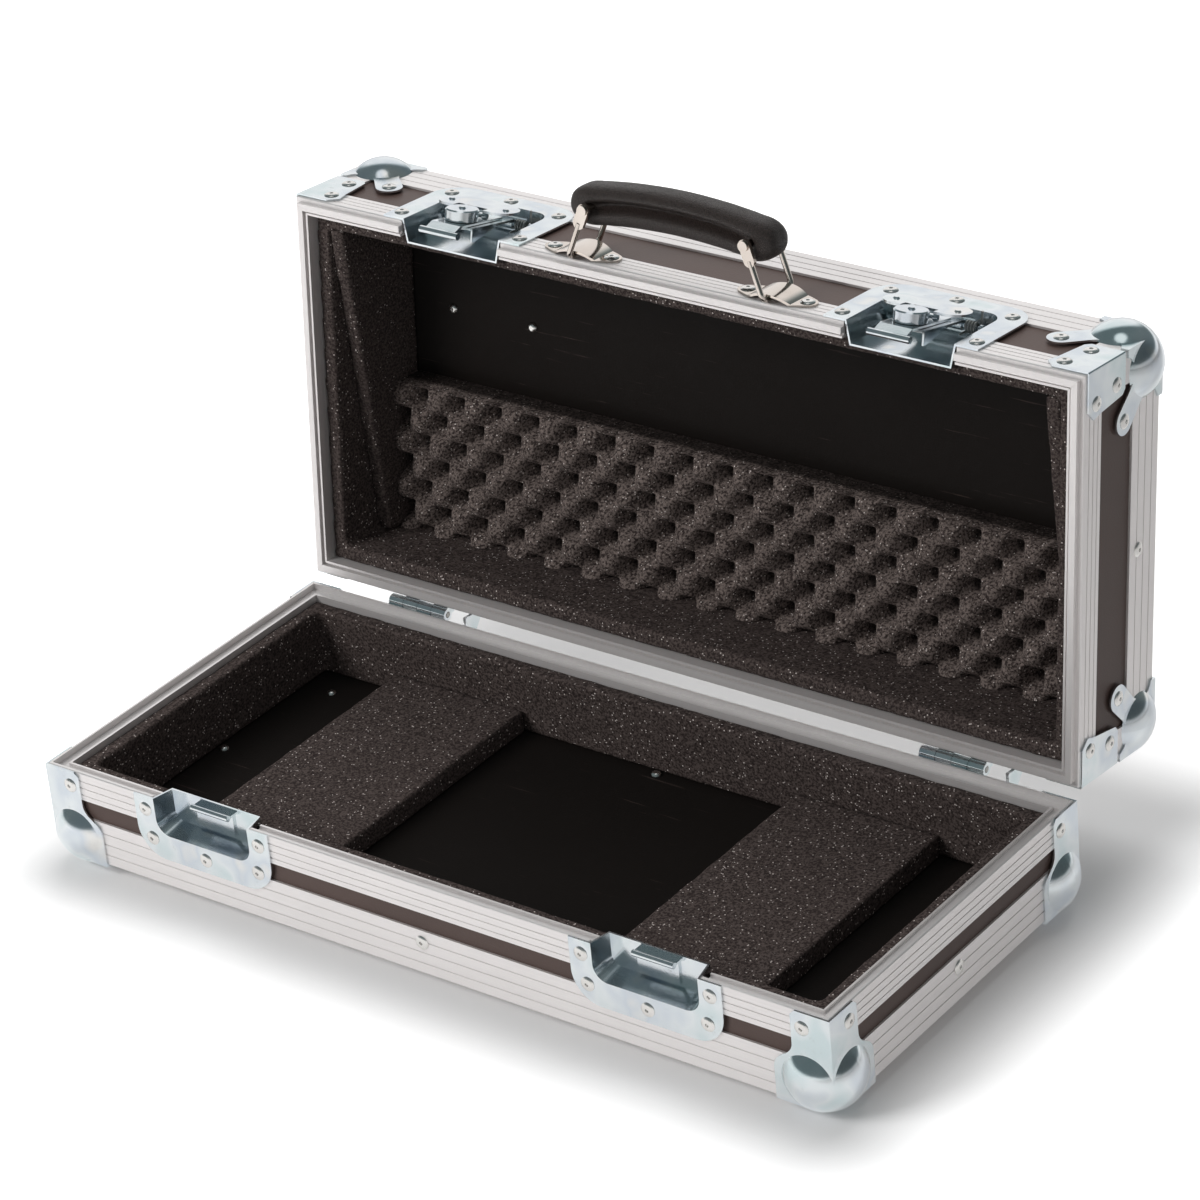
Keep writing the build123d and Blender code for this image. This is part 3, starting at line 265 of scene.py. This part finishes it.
def surface(shading, look, height=None, depth=0.0002):
    """Give the principled shader its values, and a bump when there is a height."""
    shader = shading.tree.nodes["Principled BSDF"]
    if height is not None:
        look["Normal"] = shading.node("Bump", {}, {"Height": height, "Distance": depth})
    for name, value in look.items():
        if isinstance(value, Level):
            shading.tree.links.new(value.socket, shader.inputs[name])
        else:
            shader.inputs[name].default_value = value


def case_place(shading, in_lid):
    """Place on the closed case: across, deep from its middle, high from the parting plane."""
    spot = shading.node("TexCoord", {}, {}, "Object")
    if in_lid:
        turn = Matrix.Rotation(lid_swing, 3, "X")
        shift = Vector((0.0, half_deep + hinge_behind, hinge_above)) - turn @ Vector(hinge_row)
        settings = {"Location": shift, "Rotation": (lid_swing, 0.0, 0.0)}
    else:
        settings = {"Location": (0.0, -case_y, -parting)}
    return shading.node("Mapping", {}, {"Vector": spot, **settings})


def dress(material, *names):
    for name in names:
        piece = nodes[name]
        if not piece.material_slots:
            piece.data.materials.append(material)
        for slot in piece.material_slots:
            slot.material = material


def board_film(name, in_lid):
    material, shade = new_finish(name)
    spot = case_place(shade, in_lid)
    across = shade.node("SeparateXYZ", {}, {"Vector": spot}, "X")
    deep, high = across.out("Y"), across.out("Z")
    # The faces inside the case, which get painted shade.
    inside = (abs(across) < inner_wide) * (abs(deep) < inner_deep)
    inside = inside * (high > inner_floor) * (high < inner_top)
    pebble = shade.noise(spot, 900.0, 3.0)
    cloud = shade.noise(spot, 14.0, 2.0)
    slant = {"Scale": (5.0, 160.0, 60.0), "Rotation": (0.0, 0.0, 0.5)}
    long_way = shade.node("Mapping", {}, {"Vector": spot, **slant})
    rub = shade.step(shade.noise(long_way, 3.0, 4.0, 0.6), 0.66, 0.74)
    tone = shade.blend(cloud, paint("4B3E3A"), paint("5A4A45"))
    # Painted shade: the same film is painted near black inside the case, where shade falls.
    tone = shade.blend(inside, tone, paint("15110F"))
    tone = shade.blend(rub * 0.3, tone, paint("62534E"))
    satin = 0.4 + cloud * 0.12 + inside * 0.3
    look = {"Base Color": tone, "Roughness": satin, "Specular IOR Level": 0.26}
    surface(shade, look, pebble + rub * 0.3, 0.00012)
    return material


dress(board_film("base_board_film", False), "base_floor_board", "base_front_wall", "base_back_wall",
      "base_left_wall", "base_right_wall")
dress(board_film("lid_board_film", True), "lid_top_board", "lid_front_wall", "lid_back_wall",
      "lid_left_wall", "lid_right_wall")

# Edge angles and rims: extruded aluminium, grooved along its length, mitred at the corners and
# lightly anodised. The draw lines run along each bar.
def bar_metal(name, in_lid, upright_low, upright_high):
    material, shade = new_finish(name)
    spot = case_place(shade, in_lid)
    across = shade.node("SeparateXYZ", {}, {"Vector": spot}, "X")
    deep, high = across.out("Y"), across.out("Z")
    short_bar = (half_wide - abs(across)) < (half_deep - abs(deep))
    upright = (high > upright_low) * (high < upright_high)
    lines = []
    for stretch in ((3.0, 2400.0, 2400.0), (2400.0, 3.0, 2400.0), (2400.0, 2400.0, 3.0)):
        drawn = shade.node("Mapping", {}, {"Vector": spot, "Scale": stretch})
        lines.append(shade.noise(drawn, 1.0, 2.0, 0.6))
    drawn = lines[0] * (1 - short_bar) + lines[1] * short_bar
    drawn = drawn * (1 - upright) + lines[2] * upright
    cloud = shade.noise(spot, 9.0, 2.0)
    rub = shade.step(shade.noise(spot, 260.0, 5.0, 0.7), 0.64, 0.78)
    tone = shade.blend(drawn, paint("E4DFDD"), paint("F6F3F2"))
    tone = shade.blend(cloud * 0.3, tone, paint("DAD4D4"))
    tone = shade.blend(rub * 0.12, tone, paint("BDB6B5"))
    look = {"Base Color": tone, "Metallic": 0.6, "Roughness": 0.34 + drawn * 0.1 + rub * 0.1}
    surface(shade, look, drawn, 0.000004)
    return material


dress(bar_metal("base_bar_metal", False, -0.0320, -0.0195), "base_edge_angles", "base_rims")
dress(bar_metal("lid_bar_metal", True, 0.0185, 0.0530), "lid_edge_angles", "lid_rims")

# Foam linings on the walls, the two flat pads that carry the instrument and the two slanted pads
# in the lid: charcoal open-cell foam, cut with a hot wire, glued in. Glints where single cells
# catch the light are painted into its colour as pale specks.
def foam_skin(name, pale, hollow_shade_heights=None):
    """Foam's finish. Painted shade darkens a sheet's hollows, between two heights of the closed
    lid.
    """
    material, shade = new_finish(name)
    spot = case_place(shade, True)
    cells = shade.node("TexVoronoi", {}, {"Vector": spot, "Scale": 1000.0}, "Distance")
    chance = shade.node("SeparateColor", {}, {"Color": cells.out("Color")}, "Red")
    coarse = shade.noise(spot, 620.0, 3.0, 0.65)
    cloud = shade.noise(spot, 11.0, 2.0)
    # Painted highlight: a few single cells are painted pale, as glints of light.
    painted_glint = (chance > 0.965) * shade.step(cells, 0.6, 0.3)
    tone = shade.blend(shade.step(coarse, 0.38, 0.62), paint("272120"), pale)
    tone = shade.blend(cloud * 0.3, tone, paint("483E3B"))
    tone = shade.blend(painted_glint * 0.9, tone, paint("D6CCC7"))
    if hollow_shade_heights:
        high = shade.node("SeparateXYZ", {}, {"Vector": spot}, "Z")
        # Painted shade: between the two heights the hollows are painted near black, as if in
        # shadow.
        tone = shade.blend(shade.step(high, *hollow_shade_heights) * 0.8, tone, paint("120E0D"))
    look = {"Base Color": tone, "Roughness": 0.95 - painted_glint * 0.4, "Specular IOR Level": 0.2}
    surface(shade, look, coarse * 0.7 + cells * 0.4, 0.0004)
    return material


foam_finish = foam_skin("cut_foam", paint("564D4A"))


def bench_copy(node, name, cell):
    """A copy of a node's solid, merged and remeshed evenly, ready to be worked on."""
    piece = nodes[node].copy()
    piece.data = nodes[node].data.copy()
    piece.name = name
    piece.parent = None
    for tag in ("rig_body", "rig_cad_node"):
        if tag in piece:
            del piece[tag]
    bpy.context.scene.collection.objects.link(piece)
    bpy.ops.object.select_all(action="DESELECT")
    piece.select_set(True)
    bpy.context.view_layer.objects.active = piece
    bpy.ops.object.mode_set(mode="EDIT")
    bpy.ops.mesh.select_all(action="SELECT")
    bpy.ops.mesh.remove_doubles(threshold=0.00001)
    bpy.ops.object.mode_set(mode="OBJECT")
    remesh = piece.modifiers.new("cells", "REMESH")
    remesh.mode = "VOXEL"
    remesh.voxel_size = cell
    bpy.ops.object.modifier_apply(modifier="cells")
    return piece


def foam_from(node, cell, name):
    """Foam cut to the shape of the space that the frame keeps for it, with softened edges."""
    piece = bench_copy(node, name, cell)
    smooth = piece.modifiers.new("soften", "SMOOTH")
    smooth.factor, smooth.iterations = 0.5, 2
    waves = bpy.data.textures.new(name + "_waves", "CLOUDS")
    waves.noise_scale = 0.014
    uneven = piece.modifiers.new("uneven", "DISPLACE")
    uneven.texture = waves
    uneven.texture_coords = "LOCAL"
    uneven.mid_level = 0.62
    uneven.strength = 0.0009
    for step in ("soften", "uneven"):
        bpy.ops.object.modifier_apply(modifier=step)
    bpy.ops.object.shade_smooth()
    piece.data.materials.clear()
    piece.data.materials.append(foam_finish)
    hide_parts(node)
    return piece


for half in ("base", "lid"):
    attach(foam_from(half + "_foam_lining", 0.0020, half + "_cut_lining"), half)
    for side in ("left", "right"):
        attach(foam_from(f"{half}_{side}_foam_pad", 0.0020, f"{half}_{side}_cut_pad"), half)

# Egg-crate foam in the lid: one sheet, peaks staggered against hollows, glued to the top board at
# the hinge side. One cell is shaped, and the sheet is rows of it.
crate_cell = (0.0296, 0.0318)
crate_columns, crate_rows = 19, 4
crate_peak, crate_hollow = 0.0088, 1.3 * 0.0088
peak_spread, hollow_spread = 0.0172, 0.0122
crate_wide, crate_deep, crate_back = 0.5084, 0.1000, 0.0200
crate_margin = 0.0040
crate_front, crate_seat = 0.1070, 0.0762
# Heights of the closed lid between which the egg crate's hollows get painted shade.
shaded = (crate_seat - 0.0165, crate_seat - 0.0115)
bpy.ops.object.select_all(action="DESELECT")
bpy.ops.mesh.primitive_grid_add(x_subdivisions=16, y_subdivisions=20, size=1.0)
crate = bpy.context.object
crate.name = "egg_crate_sheet"
crate.scale = (crate_cell[0], crate_cell[1], 1.0)
bpy.ops.object.transform_apply(location=False, rotation=False, scale=True)
bpy.ops.object.mode_set(mode="EDIT")
for lift, spread, places in (
    (crate_peak, peak_spread, ((0, 0), (1, 1), (1, -1), (-1, 1), (-1, -1))),
    (-crate_hollow, hollow_spread, ((1, 0), (-1, 0), (0, 1), (0, -1))),
):
    bpy.ops.mesh.select_all(action="DESELECT")
    bpy.ops.object.mode_set(mode="OBJECT")
    for vertex in crate.data.vertices:
        vertex.select = any(
            hypot(vertex.co.x - x * crate_cell[0] / 2, vertex.co.y - y * crate_cell[1] / 2) < 0.0001
            for x, y in places
        )
    bpy.ops.object.mode_set(mode="EDIT")
    bpy.ops.transform.translate(
        value=(0.0, 0.0, lift), use_proportional_edit=True,
        proportional_edit_falloff="SMOOTH", proportional_size=spread,
    )
bpy.ops.object.mode_set(mode="OBJECT")
for name, count, offset in (
    ("row", crate_columns, (crate_cell[0], 0, 0)),
    ("rows", crate_rows, (0, crate_cell[1], 0)),
):
    repeat = crate.modifiers.new(name, "ARRAY")
    repeat.count = count
    repeat.use_relative_offset = False
    repeat.use_constant_offset = True
    repeat.constant_offset_displace = offset
    repeat.use_merge_vertices = True
    repeat.merge_threshold = 0.0003
    bpy.ops.object.modifier_apply(modifier=name)
low = [min(corner[axis] for corner in crate.bound_box) for axis in range(2)]
crate.location = (-low[0] - crate_cell[0] * crate_columns / 2, -low[1] - crate_margin, 0.0)
bpy.ops.object.transform_apply(location=True, rotation=False, scale=False)
bpy.ops.object.mode_set(mode="EDIT")
for point, normal in (
    ((-crate_wide / 2, 0, 0), (-1, 0, 0)),
    ((crate_wide / 2, 0, 0), (1, 0, 0)),
    ((0, 0, 0), (0, -1, 0)),
    ((0, crate_deep, 0), (0, 1, 0)),
):
    bpy.ops.mesh.select_all(action="SELECT")
    bpy.ops.mesh.bisect(plane_co=point, plane_no=normal, clear_outer=True)
bpy.ops.mesh.select_all(action="SELECT")
bpy.ops.mesh.extrude_region()
bpy.ops.transform.resize(value=(1.0, 1.0, 0.0), center_override=(0.0, 0.0, -crate_back))
bpy.ops.mesh.dissolve_limited(angle_limit=0.02)
bpy.ops.mesh.select_all(action="SELECT")
bpy.ops.mesh.normals_make_consistent(inside=False)
bpy.ops.object.mode_set(mode="OBJECT")
bpy.ops.object.shade_smooth_by_angle(angle=radians(70))


def lid_point(across, deep, high):
    """A place of the closed lid, counted as in case_place, where it is with the lid open."""
    back, up = deep - half_deep - hinge_behind, high - hinge_above
    return Vector((
        across,
        hinge_row[1] + back * cos(lid_swing) + up * sin(lid_swing),
        hinge_row[2] - back * sin(lid_swing) + up * cos(lid_swing),
    ))


crate.rotation_euler.x = pi - lid_swing
crate.location = lid_point(0.0, crate_front, crate_seat - crate_back)
bpy.ops.object.transform_apply(location=True, rotation=True, scale=True)
crate.data.materials.append(foam_skin("moulded_foam", paint("7A6F6A"), shaded))
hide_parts("lid_egg_crate_foam")
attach(crate, "lid")

# Ball corners, corner braces, latch and keeper pans, hubs and wings: pressed steel, bright zinc
# plated. The clear passivation leaves a cold, slightly green and violet sheen.
zinc_finish, shade = new_finish("bright_zinc")
spot = shade.node("TexCoord", {}, {}, "Object")
sheen = shade.noise(spot, 34.0, 2.0, 0.5)
grain = shade.noise(spot, 700.0, 3.0, 0.6)
wear = shade.step(shade.noise(spot, 150.0, 5.0, 0.7), 0.6, 0.75)
plating = (0.30, "CFDCDE"), (0.46, "E2E7E9"), (0.60, "D2D9E0"), (0.72, "E8E7E4")
stops = [(place, paint(colour)) for place, colour in plating]
tone = shade.node("ValToRGB", {"stops": stops}, {"Fac": sheen})
tone = shade.blend(wear * 0.25, tone, paint("A8AEAD"))
surface(shade, {"Base Color": tone, "Metallic": 1.0, "Roughness": 0.11 + sheen * 0.08 + wear * 0.1},
        grain, 0.00002)
dress(zinc_finish, "base_ball_corners", "lid_ball_corners", "lid_corner_braces",
      "keeper_dish_left", "keeper_dish_right", "keeper_hook_left", "keeper_hook_right",
      "latch_dish_left", "latch_dish_right", "latch_carrier_left", "latch_carrier_right",
      "latch_hub_left", "latch_hub_right", "latch_wing_left", "latch_wing_right",
      "latch_claw_left", "latch_claw_right", "latch_fold_pin_left", "latch_fold_pin_right",
      "latch_pivot_pin_left", "latch_pivot_pin_right",
      "hinge_base_leaf_left", "hinge_base_leaf_right",
      "hinge_lid_leaf_left", "hinge_lid_leaf_right")

# Torsion springs and hinge pins: drawn steel wire, oiled, darker than the zinc round it.
wire_finish, shade = new_finish("oiled_wire")
spot = shade.node("TexCoord", {}, {}, "Object")
draw = shade.noise(spot, 1200.0, 2.0)
cloud = shade.noise(spot, 90.0, 2.0)
tone = shade.blend(cloud, paint("8E8C89"), paint("B9B7B3"))
surface(shade, {"Base Color": tone, "Metallic": 1.0, "Roughness": 0.25 + draw * 0.15},
        draw, 0.00001)
dress(wire_finish, "latch_spring_left", "latch_spring_right", "hinge_pin_left", "hinge_pin_right")

# Rivets: nickelled steel with a pierced domed head, spread by the mandrel inside the case.
rivet_finish, shade = new_finish("rivet_steel")
spot = shade.node("TexCoord", {}, {}, "Object")
grain = shade.noise(spot, 900.0, 3.0, 0.6)
cloud = shade.noise(spot, 60.0, 2.0)
tone = shade.blend(cloud, paint("D9D6D2"), paint("F2F0ED"))
surface(shade, {"Base Color": tone, "Metallic": 1.0, "Roughness": 0.16 + grain * 0.16},
        grain, 0.00002)
dress(rivet_finish, "base_rivets", "lid_rivets")

# Handle fittings: two seat plates, two wire bails and the grip's cross pins. Steel, bent and
# punched, with a warm bright nickel plating that clouds where hands reach it.
nickel_finish, shade = new_finish("warm_nickel")
spot = shade.node("TexCoord", {}, {}, "Object")
cloud = shade.noise(spot, 45.0, 3.0)
wear = shade.step(shade.noise(spot, 210.0, 5.0, 0.7), 0.62, 0.74)
tone = shade.blend(cloud, paint("C6BAB0"), paint("E6DDD5"))
surface(shade, {"Base Color": tone, "Metallic": 1.0, "Roughness": 0.1 + cloud * 0.06 + wear * 0.15},
        wear, 0.00001)
dress(nickel_finish, "handle_plate_left", "handle_plate_right",
      "handle_bail_left", "handle_bail_right", "handle_grip_pins")

# Grip: a foam core in black grained leathercloth. The cloth is folded round the cross pins and
# pinched between an upper and a lower roll, and the core puffs it out beside the pinch.
leather_finish, shade = new_finish("black_leathercloth")
spot = shade.node("TexCoord", {}, {}, "Object")
pores = shade.node("TexVoronoi", {"feature": "DISTANCE_TO_EDGE"}, {"Vector": spot, "Scale": 720.0})
crease = shade.noise(spot, 130.0, 4.0, 0.6)
cloud = shade.noise(spot, 30.0, 2.0)
hide = shade.step(pores, 0.0, 0.22)
tone = shade.blend(hide, paint("17120F"), paint("332A26"))
tone = shade.blend(cloud * 0.5, tone, paint("2E2523"))
grained = 0.5 - hide * 0.14 + cloud * 0.08
surface(shade, {"Base Color": tone, "Roughness": grained, "Specular IOR Level": 0.6},
        hide * 0.45 + crease, 0.00035)

grip = bench_copy("handle_grip", "padded_grip", 0.0018)
lid_front = lid_point(0.0, -half_deep, 0.0)
face_up = Vector((0.0, cos(lid_swing - pi / 2), -sin(lid_swing - pi / 2)))
face_out = Vector((0.0, sin(lid_swing - pi / 2), cos(lid_swing - pi / 2)))
pin_across, pin_out, pin_hold = 0.058, 0.034, 0.0050
grip_rise, grip_middle = 0.0045, 0.0120
end_from, end_long, end_pushed = 0.056, 0.012, 0.0035
seam_bow, seam_wide = 0.0012, 0.0026
puff_limit = 0.0012


def part_of(value):
    """The value, kept between 0 and 1."""
    return min(max(value, 0.0), 1.0)


pinched = grip.vertex_groups.new(name="pinched")
for vertex in grip.data.vertices:
    on_face = vertex.co - lid_front
    across, high, out = on_face.x, on_face.dot(face_up), on_face.dot(face_out)
    along = min(abs(across) / pin_across, 1.0)
    level = out - pin_out - grip_rise * (1 - along ** 2)
    fade = (1 - part_of((abs(across) - 0.050) / 0.010)) ** 0.5
    seam = seam_bow * (1 - along ** 6)
    near = exp(-(((level - seam) / seam_wide) ** 2))
    below = part_of((seam - level) / 0.003)
    wrinkle = 0.02 * sin(across * 520.0 + level * 300.0) * along ** 3 * below
    narrow = 1 - fade * (0.74 * near + 0.18 * below + wrinkle) - 0.02
    vertex.co += face_up * ((high - grip_middle) * (narrow - 1))
    vertex.co.x += copysign(end_pushed * part_of((abs(across) - end_from) / end_long), across)
    hold = near * fade * part_of(abs(high - grip_middle) / 0.006)
    if hypot(abs(across) - pin_across, out - pin_out) < pin_hold:
        hold = 1.0
    pinched.add([vertex.index], hold, "REPLACE")
before = [vertex.co.copy() for vertex in grip.data.vertices]
stuffing = grip.modifiers.new("stuffing", "CLOTH")
stuffing.settings.use_pressure = True
stuffing.settings.uniform_pressure_force = 4.0
stuffing.settings.tension_stiffness = 12.0
stuffing.settings.compression_stiffness = 12.0
stuffing.settings.bending_stiffness = 0.3
stuffing.settings.vertex_group_mass = "pinched"
stuffing.settings.effector_weights.gravity = 0.0
for step in range(1, 21):
    bpy.context.scene.frame_set(step)
bpy.ops.object.modifier_apply(modifier="stuffing")
for vertex, start in zip(grip.data.vertices, before):
    moved = vertex.co - start
    if moved.length > puff_limit:
        vertex.co = start + moved * (puff_limit / moved.length)
grip.vertex_groups.clear()
smooth = grip.modifiers.new("smooth", "SMOOTH")
smooth.factor, smooth.iterations = 0.5, 1
bpy.ops.object.modifier_apply(modifier="smooth")
finer = grip.modifiers.new("fine", "SUBSURF")
finer.levels = finer.render_levels = 1
bpy.ops.object.modifier_apply(modifier="fine")
bpy.ops.object.shade_smooth()
grip.data.materials.clear()
grip.data.materials.append(leather_finish)
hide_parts("handle_grip")
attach(grip, "grip")
